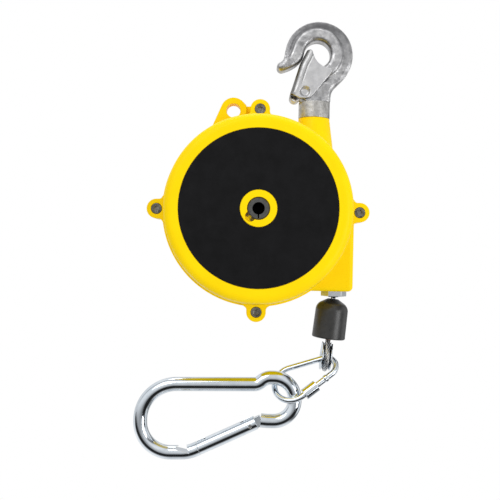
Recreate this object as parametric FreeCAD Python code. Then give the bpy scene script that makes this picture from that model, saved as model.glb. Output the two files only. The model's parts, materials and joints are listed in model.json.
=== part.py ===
import FreeCAD, Part
import math
import os

# Spring tool balancer: a sprung cable drum in a two-part cast housing that hangs from a swivel hook.
# Millimetres. Here X points right, Y from the front cover to the back and Z up, and everything is drawn
# round the drum axis with Y = 0 on the front face. Pieces are saved round the seat of the hook instead.

V = FreeCAD.Vector
ORIGIN = V(0, 0, 0)
X = V(1, 0, 0)
Y = V(0, 1, 0)
Z = V(0, 0, 1)

# Clearances
RUNNING = 0.05           # radial, a shaft that turns in a bore
SEAT = 0.02              # radial, a piece pressed or screwed into its seat
GAP = 0.3                # between curved faces of two moving pieces

# Housing
FACE_R = 75.5            # front face, where its edge would be sharp
RIM_R = 80.7             # flange at the joint of the two castings
RIM_STEP = 1.4
RIM_T = 4.0
BACK_R = 76.5
PART_Y = 43.0            # plane of that joint
BACK_Y = 114.0
WALL = 4.5
EDGE_ROUND = 7.0
ARBOR_R = 8.3            # the fixed shaft through the middle, which the drum turns on
HUB_WALL = 8.7           # round the arbor
HUB_R = ARBOR_R + HUB_WALL
HUB_Y = 12.0
LABEL_R = 63.7
LABEL_HOLE_R = 14.7
LABEL_T = 0.6
CLIP_ROOM = 0.9          # round the arbor, for the retaining ring
COUNTERBORE_R = ARBOR_R + CLIP_ROOM
COUNTERBORE_T = 3.0
COVER_RIB_T = 2.5
CLIP_NOTCH_R = 4.2       # room for the lugs of the retaining ring
BACK_HUB_R = 24.0        # the back keeps a middle disc, a rim and six ribs; the rest is a shallow recess
BACK_RECESS_R = 60.0
BACK_RECESS_T = 1.5
BACK_RIB_T = 7.0

# Cover ears and their screws
EAR_PITCH_R = 85.0
EAR_R = 8.2
EAR_T = 8.0
EAR_ROOT = 19.0          # depth of the ears on the rear housing
EAR_FLARE = 14.0         # half width where an ear meets the casing
SCREW_R = 2.5
SCREW_L = 20.0
SCREW_HEAD_R = 4.25
SCREW_HEAD_T = 5.0
HEX_AF = 4.0

# Line of pull: the hook above and the cable below lie in one plane
LINE_Y = 56.0
HOOK_X = 46.7
ROPE_R = 2.0
ROPE_X = 66.8

# Safety eye
EYE_X = -22.7
EYE_Z = 86.0
EYE_R = 6.0
EYE_WALL = 5.0
EYE_T = 12.0
LUG_SLOPE = 66.8         # degrees, the left edge of the lug
LUG_FOOT = 35.0          # how far the lug reaches down into the casing
WEB_TOP = 90.5
WEB_T = 7.0

# Hook boss, stem and its fastening
BOSS_TOP = 81.0
BOSS_R = 13.4
BOSS_FLARE = 4.0
POCKET_TOP = 72.0
POCKET_R = 11.4
STEM_R = 6.0
COLLAR_T = 13.5
WASHER_T = 2.0
NUT_AF = 18.0
NUT_T = 10.5
NUT_SLOT_W = 2.8
NUT_SLOT_T = 3.4
SPLIT_PIN_R = 1.2
SPLIT_PIN_UP = 1.6       # from the bottom of the nut

# Cable outlet
BLOCK_RIGHT = 81.8
BLOCK_LEFT = 40.0
BLOCK_BOTTOM = -66.8
BLOCK_TOP = -6.0
BLOCK_T = 27.0
BLOCK_ROUND = 4.0
BUSH_AF = 19.0
BUSH_FLANGE_T = 4.5
BUSH_R = 8.0
BUSH_L = 18.0
BUSH_BORE_R = 2.6
BUSH_LIP_R = 5.5
BUSH_LIP_T = 0.8
BUSH_FLARE = 1.6         # the bore widens this much at both ends
BUSH_FLARE_L = 4.0
CHANNEL_R = 5.5          # room round the cable between drum and bush
CHANNEL_L = 52.0

# Drum, spring and arbor
ARBOR_BORE_R = 4.8
ARBOR_SLIT = 1.2
ARBOR_FRONT = 0.8
CLIP_GROOVE = 0.5
CLIP_T = 1.0
CLIP_RISE = 0.75
CLIP_LUG_R = 1.5
CLIP_LUG_HOLE_R = 0.7
CLIP_ANGLE = 225         # where the ring is open
CLIP_LUG_SPREAD = 13     # degrees either side of that
DRUM_FRONT = 17.0
DRUM_BACK = 90.5
DRUM_WALL = 4.0
DRUM_HUB_WALL = 3.0
FLANGE_R = 69.0
FLANGE_T = 2.5
HALF_TURNS = 14
TURN_PITCH = 4.05
BEARING_T = 2.2
FRONT_BEARING_L = 8.0
BACK_BEARING_L = 12.0
SPRING_COVER_T = 2.2
SMALL_SCREW_R = 1.25
SMALL_SCREW_L = 9.0
SMALL_HEAD_R = 2.2
SMALL_HEAD_T = 1.4
SPRING_T = 1.0
SPRING_TURNS = 9
SPRING_W = 58.0

# Worm adjuster
TEETH = 30
MODULE = 1.25
WHEEL_Y = 100.0
WHEEL_T = 8.0
WORM_R = 6.0
WORM_SHAFT_R = 4.0
WORM_LEFT = -69.0
WORM_RIGHT = 20.0
WORM_TURNS = 4
WORM_THREAD_ROOT = 0.9   # half width of the thread at its foot
WORM_THREAD_TIP = 0.35
WORM_BOSS_WALL = 5.0
WORM_SOCKET_T = 5.0
TOOTH_ROOT = 2.9         # degrees, half width of a tooth at its foot
TOOTH_TIP = 1.1

# Cable end
TILT = 6.0               # degrees, the lean of the cable end at rest
BUFFER_DROP = 2.5        # from the bush down to the top of the buffer
BUFFER_TOP_R = 13.9
BUFFER_R = 14.3
BUFFER_L = 34.0
FERRULE_R = 5.2
FERRULE_L = 22.0
THIMBLE_R = 7.5          # inside of the eye
THIMBLE_T = 1.0
THIMBLE_W = 8.5
THIMBLE_FLANGE = 3.2     # how far its sides reach out past the rope
EYE_ROPE_R = THIMBLE_R + THIMBLE_T + ROPE_R + 0.05
EYE_BELOW = 16.5         # from the buffer down to the centre of the eye
EYE_DROP = BUFFER_DROP + BUFFER_L + EYE_BELOW

# Screw-lock link
LINK_ROD_R = 2.5
LINK_HEAD_R = 3.1
LINK_HEAD_L = 3.0
LINK_NARROW_R = 9.0
LINK_WIDE_R = 15.78
LINK_CENTRES = 32.2
LINK_LEAN = 27.83        # degrees below the horizontal
LINK_TWIST = 41.7        # degrees about its own length
LINK_HINGE_SHARE = 0.14  # the gate runs between these shares of its side of the link
LINK_NOSE_SHARE = 0.86
LINK_X = ROPE_X - EYE_DROP * math.sin(math.radians(TILT)) - 0.26
LINK_Y = LINE_Y - 2.26
LINK_Z = BLOCK_BOTTOM - BUSH_FLANGE_T - EYE_DROP * math.cos(math.radians(TILT)) - 8.3403
SLEEVE_R = 5.0
SLEEVE_L = 12.6

# Carabiner
CARABINER_R = 6.0
CARABINER_Y = LINK_Y - 1.21
GATE_SLOT = 5.0
NOSE_L = 8.0             # from the gate to the notch behind the nose
NOTCH_L = 11.0
TONGUE_T = 4.4
TONGUE_W = 9.0
GATE_PIN_R = 1.5
GATE_HINGE = V(LINK_X - 64.0, CARABINER_Y, LINK_Z - 51.05)
GATE_NOSE = GATE_HINGE + V(-44.0, 0, -20.7)

# Hook
HOOK_T = 16.0
HOOK_ROUND = 3.6         # runs on from the bowl along every smooth edge of the forging
HOOK_ROOT_Z = BOSS_TOP + COLLAR_T
BOWL_X = 48.2
BOWL_Z = 135.8
BOWL_R = 11.3
HOOK_OUTER_X = 49.5
HOOK_OUTER_Z = 134.8
HOOK_OUTER_R = 29.0
TIP_X = 17.6
TIP_Z = 124.6
TIP_R = 3.9
SHANK_RIGHT = HOOK_X + BOSS_R
LATCH_X = 37.9
LATCH_Z = 102.8
LATCH_LUG_R = 6.2
LATCH_T = 1.3
DIMPLE_R = 4.6
DIMPLE_BOTTOM_R = 3.0
DIMPLE_T = 2.2
CURL_R = 4.4
CURL_W = 12.0

HOOK_SEAT = V(HOOK_X, LINE_Y, BOWL_Z + math.sqrt(BOWL_R ** 2 - (HOOK_X - BOWL_X) ** 2))
CABLE_PIVOT = V(ROPE_X, LINE_Y, BLOCK_BOTTOM - BUSH_FLANGE_T)


# ---- drawing tools ----

def front_view(u, w):
    return V(u, 0, w)


def half_section(u, w):
    return V(u, w, 0)


def rounded_edges(corners, place, closed=True):
    """Lines through corners (u, w, radius), each corner rounded by an arc tangent to both its lines."""
    points = [place(c[0], c[1]) for c in corners]
    count = len(points)
    starts = []
    ends = []
    arcs = []
    for i in range(count):
        here = points[i]
        radius = corners[i][2]
        at_end = not closed and i in (0, count - 1)
        if at_end or radius <= 0:
            starts.append(here)
            ends.append(here)
            arcs.append(None)
            continue
        back = (points[i - 1] - here).normalize()
        ahead = (points[(i + 1) % count] - here).normalize()
        half = back.getAngle(ahead) / 2
        reach = radius / math.tan(half)
        middle = here + (back + ahead).normalize() * (radius / math.sin(half) - radius)
        starts.append(here + back * reach)
        ends.append(here + ahead * reach)
        arcs.append(Part.Arc(starts[i], middle, ends[i]).toShape())
    edges = []
    for i in range(count):
        if arcs[i]:
            edges.append(arcs[i])
        after = (i + 1) % count
        if closed or i < count - 1:
            if ends[i].distanceToPoint(starts[after]) > 0.001:
                edges.append(Part.makeLine(ends[i], starts[after]))
    return edges


def plate(corners, y0, y1):
    """A flat piece with a rounded outline in the front view, from depth y0 to y1."""
    face = Part.Face(Part.Wire(rounded_edges(corners, front_view)))
    face.translate(V(0, y0, 0))
    return face.extrude(V(0, y1 - y0, 0))


def turned(corners, base=ORIGIN, axis=Y, side=X):
    """A turned piece: a half section of (radius, distance along the axis, rounding)."""
    def place(r, h):
        return base + side * r + axis * h
    face = Part.Face(Part.Wire(rounded_edges(corners, place)))
    return face.revolve(base, axis, 360)


def cylinder(radius, base, axis, length):
    return Part.makeCylinder(radius, length, base, axis)


def ring(outer, inner, base, axis, length):
    return cylinder(outer, base, axis, length).cut(cylinder(inner, base, axis, length))


def block(x0, x1, y0, y1, z0, z1):
    return Part.makeBox(x1 - x0, y1 - y0, z1 - z0, V(x0, y0, z0))


def hexagon(across_flats, base, axis, length, turn=0):
    """A hexagonal prism; turn is in degrees about the axis."""
    side = X if abs(axis.x) < 0.5 else Y
    other = axis.cross(side)
    corner_r = across_flats / math.sqrt(3)
    points = []
    for i in range(7):
        angle = math.radians(60 * i + turn)
        points.append(base + side * corner_r * math.cos(angle) + other * corner_r * math.sin(angle))
    return Part.Face(Part.makePolygon(points)).extrude(axis * length)


def solid_from(faces):
    """Joins faces that meet edge to edge into one solid."""
    skin = Part.makeCompound(faces)
    skin.sewShape(0.01)
    solid = Part.makeSolid(skin.Shells[0])
    return solid if solid.Volume > 0 else solid.reversed()


def rod(edges, radius):
    """A round bar along lines and arcs that follow each other smoothly, closed by a flat face at each end."""
    first = edges[0]
    circle = Part.makeCircle(radius, first.valueAt(first.FirstParameter),
                             first.tangentAt(first.FirstParameter))
    faces = [Part.Face(Part.Wire(circle))]
    for edge in edges:
        start = edge.valueAt(edge.FirstParameter)
        if edge.Curve.TypeId == "Part::GeomLine":
            move = edge.valueAt(edge.LastParameter) - start
            faces.append(circle.extrude(move))
            circle = circle.translated(move)
            continue
        centre = edge.Curve.Center
        axis = (start - centre).cross(edge.tangentAt(edge.FirstParameter))
        angle = math.degrees(edge.Length / edge.Curve.Radius)
        faces.append(circle.revolve(centre, axis, angle))
        circle = circle.rotated(centre, axis, angle)
    faces.append(Part.Face(Part.Wire(circle)))
    return solid_from(faces)


def polar(radius, degrees, y=0):
    angle = math.radians(degrees)
    return V(radius * math.cos(angle), y, radius * math.sin(angle))


def turned_by(shape, degrees, base=ORIGIN, axis=Y):
    copy = shape.copy()
    copy.rotate(base, axis, degrees)
    return copy


def fuse_all(shapes):
    return shapes[0].multiFuse(shapes[1:]).removeSplitter()


# ---- housing ----

def ear_outline():
    """One ear on the positive X side, flaring into the casing wall."""
    end = EAR_PITCH_R + EAR_R
    almost = EAR_R - 0.01
    return [(RIM_R - 9, -EAR_FLARE, 0), (RIM_R - 3.2, -EAR_FLARE, 0), (RIM_R + 0.9, -EAR_R, 3),
            (end, -EAR_R, almost), (end, EAR_R, almost),
            (RIM_R + 0.9, EAR_R, 3), (RIM_R - 3.2, EAR_FLARE, 0), (RIM_R - 9, EAR_FLARE, 0)]


def around_ears(shape):
    return [turned_by(shape, 90 * i) for i in range(4)]


def front_cover():
    shell = turned([
        (COUNTERBORE_R, 0, 0), (LABEL_HOLE_R, 0, 0), (LABEL_HOLE_R, LABEL_T, 0), (LABEL_R + 0.3, LABEL_T, 0),
        (LABEL_R + 0.3, 0, 0), (FACE_R, 0, EDGE_ROUND),
        (RIM_R - RIM_STEP, PART_Y - RIM_T, 0), (RIM_R, PART_Y - RIM_T, 0.5), (RIM_R, PART_Y, 0),
        (RIM_R - WALL, PART_Y, 0), (FACE_R - WALL + 0.5, WALL, EDGE_ROUND - 3),
        (HUB_R, WALL, 2), (HUB_R, HUB_Y, 0), (ARBOR_R + RUNNING, HUB_Y, 0),
        (ARBOR_R + RUNNING, COUNTERBORE_T, 0), (COUNTERBORE_R, COUNTERBORE_T, 0)])
    seat_y = PART_Y - EAR_T
    ears = around_ears(plate(ear_outline(), seat_y, PART_Y))
    rib = block(HUB_R - 1, FACE_R - WALL - 4, WALL - 1, 2 * WALL, -COVER_RIB_T / 2, COVER_RIB_T / 2)
    ribs = [turned_by(rib, 45 + 90 * i) for i in range(4)]
    inside = cylinder(RIM_R - WALL - 0.5, V(0, seat_y - 1, 0), Y, EAR_T + 2)
    shape = fuse_all([shell] + [ear.cut(inside) for ear in ears] + ribs)
    centre = V(EAR_PITCH_R, seat_y, 0)
    hole = cylinder(SCREW_HEAD_R + 0.4, centre, Y, SCREW_HEAD_T - 0.2)
    hole = hole.fuse(cylinder(SCREW_R + 0.2, centre, Y, EAR_T))
    notch = cylinder(CLIP_NOTCH_R, polar(COUNTERBORE_R, CLIP_ANGLE), Y, COUNTERBORE_T)
    for cut in around_ears(hole):
        shape = shape.cut(cut)
    return shape.cut(notch)


def label_disc():
    return ring(LABEL_R, LABEL_HOLE_R + 0.3, V(0, 0.05, 0), Y, LABEL_T - 0.05)


def cover_screws():
    head_y = PART_Y - EAR_T - 0.2
    centre = V(EAR_PITCH_R, head_y, 0)
    screw = cylinder(SCREW_HEAD_R, centre, Y, SCREW_HEAD_T)
    screw = screw.fuse(cylinder(SCREW_R, centre, Y, SCREW_HEAD_T + SCREW_L))
    screw = screw.cut(hexagon(HEX_AF, centre, Y, SCREW_HEAD_T / 2))
    return Part.makeCompound(around_ears(screw))


def safety_lug():
    """The lug with the safety eye, and the thinner web that joins it to the top ear."""
    top = EYE_Z + EYE_R + EYE_WALL
    wall_r = EYE_R + EYE_WALL
    slope = math.radians(LUG_SLOPE)
    left = EYE_X - wall_r * math.tan(slope / 2)
    drop = LUG_FOOT
    right = EYE_X + wall_r * math.tan(math.radians(45) / 2)
    foot = right + top - WEB_TOP
    lug = plate([(left - drop / math.tan(slope), top - drop, 0), (left, top, wall_r), (right, top, wall_r),
                 (foot, WEB_TOP, 2), (foot, top - drop, 0)], LINE_Y - EYE_T / 2, LINE_Y + EYE_T / 2)
    web_back = LINE_Y + EYE_T / 2
    web = block(EYE_X, 2, web_back - WEB_T, web_back, top - drop, WEB_TOP)
    return lug.fuse(web)


def outlet_block():
    corners = [(BLOCK_LEFT, BLOCK_BOTTOM, 0), (BLOCK_RIGHT, BLOCK_BOTTOM, BLOCK_ROUND),
               (BLOCK_RIGHT, BLOCK_TOP, BLOCK_ROUND), (BLOCK_LEFT, BLOCK_TOP, 0)]
    body = plate(corners, PART_Y, PART_Y + BLOCK_T)
    front = [e for e in body.Edges if e.BoundBox.YMax < PART_Y + 0.1 and e.BoundBox.XMax > BLOCK_LEFT + 1]
    return body.makeFillet(BLOCK_ROUND - 0.5, front)


def hook_boss():
    low = RIM_R / 2
    return turned([(0, low, 0), (BOSS_R + BOSS_FLARE, low, 0), (BOSS_R + BOSS_FLARE, BOSS_TOP - 31, 0),
                   (BOSS_R, BOSS_TOP - 2, 0), (BOSS_R, BOSS_TOP, 0.8), (0, BOSS_TOP, 0)],
                  V(HOOK_X, LINE_Y, 0), Z)


def worm_axis_z():
    return -(MODULE * TEETH / 2 + WORM_R)


def back_recess():
    """The shallow hollow in the back, left out over the ribs."""
    y = BACK_Y - BACK_RECESS_T
    hollow = turned([(BACK_HUB_R - 1, BACK_Y + 1, 0), (BACK_HUB_R, y, 0), (BACK_RECESS_R, y, 0),
                     (BACK_RECESS_R + 1, BACK_Y + 1, 0)])
    for i in range(3):
        rib = block(-BACK_RECESS_R - 2, BACK_RECESS_R + 2, y - 1, BACK_Y + 2, -BACK_RIB_T / 2, BACK_RIB_T / 2)
        hollow = hollow.cut(turned_by(rib, 30 + 60 * i))
    return hollow


def rear_housing():
    inner_y = BACK_Y - WALL - 0.5
    pot = turned([(0, BACK_Y, 0), (BACK_R, BACK_Y, EDGE_ROUND + 2), (RIM_R - RIM_STEP, PART_Y + RIM_T, 0),
                  (RIM_R, PART_Y + RIM_T, 0.5), (RIM_R, PART_Y, 0), (0, PART_Y, 0)])
    outside = [plate(ear_outline(), PART_Y, PART_Y + EAR_ROOT)]
    solids = [pot, safety_lug(), outlet_block(), hook_boss()] + around_ears(outside[0])
    worm_z = worm_axis_z()
    worm_boss = cylinder(WORM_SHAFT_R + WORM_BOSS_WALL, V(WORM_LEFT - 6, WHEEL_Y, worm_z), X, 20)
    solids.append(worm_boss)
    shape = fuse_all(solids)
    cavity = turned([(0, inner_y, 0), (BACK_R - WALL, inner_y, EDGE_ROUND - 2), (RIM_R - WALL, PART_Y, 0),
                     (0, PART_Y, 0)])
    shape = shape.cut(cavity)
    hub = cylinder(HUB_R - 3, V(0, WHEEL_Y + WHEEL_T / 2 + 0.5, 0), Y, BACK_Y - WHEEL_Y - WHEEL_T / 2 - 0.5)
    pedestals = [block(x - 3, x + 3, WHEEL_Y - WORM_SHAFT_R - 3, inner_y + 1, worm_z - 8, worm_z + 6)
                 for x in (WORM_RIGHT - 4, -WORM_RIGHT + 2)]
    shape = fuse_all([shape, hub] + pedestals)
    cover_room = cylinder(RIM_R + GAP, V(0, 0, 0), Y, PART_Y)
    arbor_bore = cylinder(ARBOR_R + RUNNING, V(0, WHEEL_Y, 0), Y, BACK_Y - 3 - WHEEL_Y)
    worm_bore = cylinder(WORM_SHAFT_R + RUNNING, V(WORM_LEFT - 10, WHEEL_Y, worm_z), X,
                         WORM_RIGHT - WORM_LEFT + 10)
    stem_bore = cylinder(STEM_R + RUNNING, V(HOOK_X, LINE_Y, POCKET_TOP - 1), Z, 30)
    pocket = cylinder(POCKET_R, V(HOOK_X, LINE_Y, 50), Z, POCKET_TOP - 50)
    eye = cylinder(EYE_R, V(EYE_X, LINE_Y - EYE_T, EYE_Z), Y, 2 * EYE_T)
    bush_bore = cylinder(BUSH_R + SEAT, V(ROPE_X, LINE_Y, BLOCK_BOTTOM - 1), Z, BUSH_L + 2)
    channel = cylinder(CHANNEL_R, V(ROPE_X, LINE_Y, BLOCK_BOTTOM), Z, CHANNEL_L)
    for cut in (cover_room, arbor_bore, worm_bore, stem_bore, pocket, eye, bush_bore, channel, back_recess()):
        shape = shape.cut(cut)
    tapped = cylinder(SCREW_R + SEAT, V(EAR_PITCH_R, PART_Y, 0), Y, EAR_ROOT - 2)
    for cut in around_ears(tapped):
        shape = shape.cut(cut)
    return shape


def cable_guide_bush():
    base = V(ROPE_X, LINE_Y, BLOCK_BOTTOM)
    flange = hexagon(BUSH_AF, base, -Z, BUSH_FLANGE_T)
    lip = turned([(0, 0, 0), (BUSH_LIP_R, 0, 0), (BUSH_LIP_R - 1, BUSH_LIP_T, 0), (0, BUSH_LIP_T, 0)],
                 base - Z * BUSH_FLANGE_T, -Z)
    body = fuse_all([flange, lip, cylinder(BUSH_R, base, Z, BUSH_L)])
    low = -BUSH_FLANGE_T - BUSH_LIP_T
    wide = BUSH_BORE_R + BUSH_FLARE
    bore = turned([(0, low - 1, 0), (wide, low - 1, 0), (wide, low, 0), (BUSH_BORE_R, low + BUSH_FLARE_L, 0),
                   (BUSH_BORE_R, BUSH_L - BUSH_FLARE_L, 0), (wide, BUSH_L, 0), (wide, BUSH_L + 1, 0),
                   (0, BUSH_L + 1, 0)], base, Z)
    return body.cut(bore)


# ---- drum, spring, arbor and worm ----

def arbor():
    back = BACK_Y - 3.2
    shaft = cylinder(ARBOR_R, V(0, ARBOR_FRONT, 0), Y, back - ARBOR_FRONT)
    bore = cylinder(ARBOR_BORE_R, V(0, ARBOR_FRONT, 0), Y, 40)
    slit = block(-ARBOR_SLIT / 2, ARBOR_SLIT / 2, ARBOR_FRONT, DRUM_BACK - 8, -ARBOR_R, 0)
    groove = ring(ARBOR_R + 1, ARBOR_R - CLIP_GROOVE, V(0, ARBOR_FRONT + 0.6, 0), Y, CLIP_T + 0.2)
    return shaft.cut(bore).cut(slit).cut(groove)


def arbor_circlip():
    """An open ring in the groove of the arbor, with two lugs for the pliers."""
    inner_r = ARBOR_R - CLIP_GROOVE + RUNNING
    front = ARBOR_FRONT + 0.7
    clip = ring(ARBOR_R + CLIP_RISE, inner_r, V(0, front, 0), Y, CLIP_T)
    lugs = []
    for degrees in (CLIP_ANGLE - CLIP_LUG_SPREAD, CLIP_ANGLE + CLIP_LUG_SPREAD):
        centre = polar(ARBOR_R + 1.7, degrees, front)
        lugs.append(ring(CLIP_LUG_R, CLIP_LUG_HOLE_R, centre, Y, CLIP_T))
    mouth = turned_by(block(0, 2 * ARBOR_R, 0, 2 * front, -1.1, 1.1), -CLIP_ANGLE)
    clip = clip.multiFuse(lugs).removeSplitter()
    return clip.cut(mouth).cut(cylinder(inner_r, ORIGIN, Y, 2 * front))


def drum_wall_r():
    return ROPE_X - ROPE_R - RUNNING


def bearing_seat_r():
    return ARBOR_R + BEARING_T + SEAT


def drum_hub_r():
    return ARBOR_R + BEARING_T + DRUM_HUB_WALL


def small_screw_places(y):
    return [polar(drum_wall_r() - DRUM_WALL / 2, 45 + 90 * i, y) for i in range(4)]


def drum():
    wall_r = drum_wall_r()
    inner_r = wall_r - DRUM_WALL
    flange_y = LINE_Y - ROPE_R - 0.5 - FLANGE_T
    back = DRUM_BACK
    shape = turned([
        (inner_r, DRUM_FRONT, 0), (wall_r, DRUM_FRONT, 0), (wall_r, flange_y, 0),
        (FLANGE_R, flange_y, 0), (FLANGE_R, flange_y + FLANGE_T, 0), (wall_r, flange_y + FLANGE_T, 0),
        (wall_r, back - FLANGE_T, 0), (FLANGE_R, back - FLANGE_T, 0), (FLANGE_R, back, 0),
        (bearing_seat_r(), back, 0), (bearing_seat_r(), back - BACK_BEARING_L, 0),
        (drum_hub_r(), back - BACK_BEARING_L, 0), (drum_hub_r(), back - DRUM_WALL, 0),
        (inner_r, back - DRUM_WALL, 0)])
    for place in small_screw_places(DRUM_FRONT):
        shape = shape.cut(cylinder(SMALL_SCREW_R + SEAT, place, Y, SMALL_SCREW_L))
    return shape


def spring_cover():
    front = DRUM_FRONT - 3
    plate_y = DRUM_FRONT - SPRING_COVER_T
    hub_end = front + FRONT_BEARING_L
    disc = turned([(bearing_seat_r(), front, 0), (drum_hub_r(), front, 0), (drum_hub_r(), plate_y, 0),
                   (drum_wall_r(), plate_y, 0), (drum_wall_r(), DRUM_FRONT, 0), (drum_hub_r(), DRUM_FRONT, 0),
                   (drum_hub_r(), hub_end, 0), (bearing_seat_r(), hub_end, 0)])
    for place in small_screw_places(front):
        disc = disc.cut(cylinder(SMALL_SCREW_R + 0.35, place, Y, 4))
    return disc


def spring_cover_screws():
    screws = []
    for place in small_screw_places(DRUM_FRONT - SPRING_COVER_T):
        head = cylinder(SMALL_HEAD_R, place - Y * SMALL_HEAD_T, Y, SMALL_HEAD_T)
        screws.append(cylinder(SMALL_SCREW_R, place, Y, SMALL_SCREW_L).fuse(head))
    return Part.makeCompound(screws)


def drum_bearings():
    inner = ARBOR_R + RUNNING
    outer = ARBOR_R + BEARING_T
    front = ring(outer, inner, V(0, DRUM_FRONT - 3, 0), Y, FRONT_BEARING_L)
    back = ring(outer, inner, V(0, DRUM_BACK - BACK_BEARING_L, 0), Y, BACK_BEARING_L)
    return Part.makeCompound([front, back])


def power_spring():
    """A flat spiral spring, each half turn a semicircle a little larger than the last."""
    outer_r = drum_wall_r() - DRUM_WALL - 0.1
    inner_r = ARBOR_R + BEARING_T + 4.2
    pitch = (outer_r - inner_r - SPRING_T) / (SPRING_TURNS + 0.25)

    def spiral(start_r):
        edges = []
        for i in range(2 * SPRING_TURNS):
            sign = 1 if i % 2 == 0 else -1
            radius = start_r + pitch * i / 2 + pitch / 4
            centre = V(sign * pitch / 4 - pitch / 4, 0, 0)
            a = centre - X * sign * radius
            b = centre + Z * sign * radius
            c = centre + X * sign * radius
            edges.append(Part.Arc(a, b, c).toShape())
        return edges
    inside = spiral(inner_r)
    outside = spiral(inner_r + SPRING_T)
    first = Part.makeLine(inside[0].valueAt(inside[0].FirstParameter),
                          outside[0].valueAt(outside[0].FirstParameter))
    last = Part.makeLine(inside[-1].valueAt(inside[-1].LastParameter),
                         outside[-1].valueAt(outside[-1].LastParameter))
    wire = Part.Wire(Part.__sortEdges__(inside + [last] + outside + [first]))
    face = Part.Face(wire)
    face.translate(V(0, (DRUM_FRONT + DRUM_BACK - SPRING_W) / 2 + 1.5, 0))
    return face.extrude(V(0, SPRING_W, 0))


def cable_windings():
    """Half turns, each tilted to end half a pitch further back, from where the cable leaves the drum.

    The rope has a six-sided section here, so that its many turns stay light.
    """
    corners = []
    for k in range(7):
        angle = math.radians(60 * k)
        corners.append(V(ROPE_X + ROPE_R * math.sin(angle), LINE_Y + ROPE_R * math.cos(angle), 0))
    section = Part.makePolygon(corners)
    faces = [Part.Face(section)]
    for i in range(HALF_TURNS):
        side = 1 if i % 2 == 0 else -1
        middle = V(0, LINE_Y + TURN_PITCH * (i / 2 + 0.25), 0)
        axis = V(-side * TURN_PITCH / 4, -ROPE_X, 0)
        faces += section.revolve(middle, axis, 180).Faces
        section = section.rotated(middle, axis, 180)
    faces.append(Part.Face(section))
    return solid_from(faces)


def cable_run():
    return cylinder(ROPE_R, V(ROPE_X, LINE_Y, -0.1), -Z, -CABLE_PIVOT.z - 0.1)


def worm_wheel():
    pitch_r = MODULE * TEETH / 2
    tip_r = pitch_r + MODULE * 0.8
    root_r = pitch_r - MODULE * 1.1
    points = []
    for i in range(TEETH):
        middle = -90 + 360 / TEETH * i
        points.append(polar(root_r, middle - TOOTH_ROOT))
        points.append(polar(tip_r, middle - TOOTH_TIP))
        points.append(polar(tip_r, middle + TOOTH_TIP))
        points.append(polar(root_r, middle + TOOTH_ROOT))
    points.append(points[0])
    face = Part.Face(Part.makePolygon(points))
    face.translate(V(0, WHEEL_Y - WHEEL_T / 2, 0))
    wheel = face.extrude(V(0, WHEEL_T, 0))
    return wheel.cut(cylinder(ARBOR_R + SEAT, V(0, WHEEL_Y - WHEEL_T, 0), Y, 2 * WHEEL_T))


def worm():
    """A single-start worm: a threaded core on a shaft whose hexagon socket faces the side of the housing."""
    lead = math.pi * MODULE
    length = lead * WORM_TURNS
    root_r = WORM_R - MODULE * 0.95
    tip_r = WORM_R + MODULE * 0.8
    helix = Part.makeHelix(lead, length, root_r)
    root = WORM_THREAD_ROOT
    tip = WORM_THREAD_TIP
    section = Part.makePolygon([V(root_r - 0.3, 0, -root), V(tip_r, 0, -tip), V(tip_r, 0, tip),
                                V(root_r - 0.3, 0, root), V(root_r - 0.3, 0, -root)])
    thread = Part.Wire(helix).makePipeShell([section], True, True)
    core = cylinder(root_r, V(0, 0, -root), Z, length + 2 * root)
    screw = core.fuse(thread)
    screw.translate(V(0, 0, -length / 2))
    screw.rotate(ORIGIN, Y, 90)
    shaft = cylinder(WORM_SHAFT_R, V(WORM_LEFT, 0, 0), X, WORM_RIGHT - 1 - WORM_LEFT)
    socket = hexagon(HEX_AF, V(WORM_LEFT, 0, 0), X, WORM_SOCKET_T)
    shape = screw.fuse(shaft).cut(socket)
    shape.rotate(ORIGIN, X, 180)
    shape.translate(V(lead / 2, WHEEL_Y, worm_axis_z()))
    return shape


# ---- cable end: everything is drawn hanging straight from the bush, then leaned ----

def leaned(shape):
    return turned_by(shape, TILT, CABLE_PIVOT, Y)


def from_pivot(z):
    return CABLE_PIVOT - Z * z


def buffer_bottom():
    return BUFFER_DROP + BUFFER_L


def buffer():
    top = BUFFER_DROP
    low = buffer_bottom()
    body = turned([(ROPE_R + 0.2, top, 0), (4.5, top, 0), (BUFFER_TOP_R, top + 5.5, 8),
                   (BUFFER_TOP_R, top + 9, 0),
                   (BUFFER_R, low, 1.2), (FERRULE_R + 0.2, low, 0), (FERRULE_R + 0.2, low - FERRULE_L, 0),
                   (ROPE_R + 0.2, low - FERRULE_L, 0)], CABLE_PIVOT, -Z)
    return leaned(body)


def ferrule():
    low = buffer_bottom() + 1
    body = turned([(0, low - FERRULE_L, 0), (FERRULE_R, low - FERRULE_L, 1), (FERRULE_R, low, 1),
                   (0, low, 0)],
                  CABLE_PIVOT, -Z)
    return leaned(body).cut(cable_eye())


def eye_lean():
    """Angle of the eye's legs to the cable, set by the rope that runs from the ferrule round the bottom."""
    rise = EYE_DROP - buffer_bottom() - 1
    leg_y = ROPE_R + 0.1
    return math.asin(EYE_ROPE_R / math.hypot(leg_y, rise)) - math.atan2(leg_y, rise)


def eye_edges(radius, top):
    """A drop-shaped line at this radius round the eye: two legs from this depth and the round bottom."""
    centre = from_pivot(EYE_DROP)
    rise = EYE_DROP - top
    lean = eye_lean()
    leg_y = (radius - rise * math.sin(lean)) / math.cos(lean)
    touch_y = radius * math.cos(lean)
    touch_z = radius * math.sin(lean)
    a = V(centre.x, centre.y - leg_y, centre.z + rise)
    b = V(centre.x, centre.y - touch_y, centre.z + touch_z)
    c = V(centre.x, centre.y + touch_y, centre.z + touch_z)
    d = V(centre.x, centre.y + leg_y, centre.z + rise)
    return [Part.makeLine(a, b), Part.Arc(b, centre - Z * radius, c).toShape(), Part.makeLine(c, d)]


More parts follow.
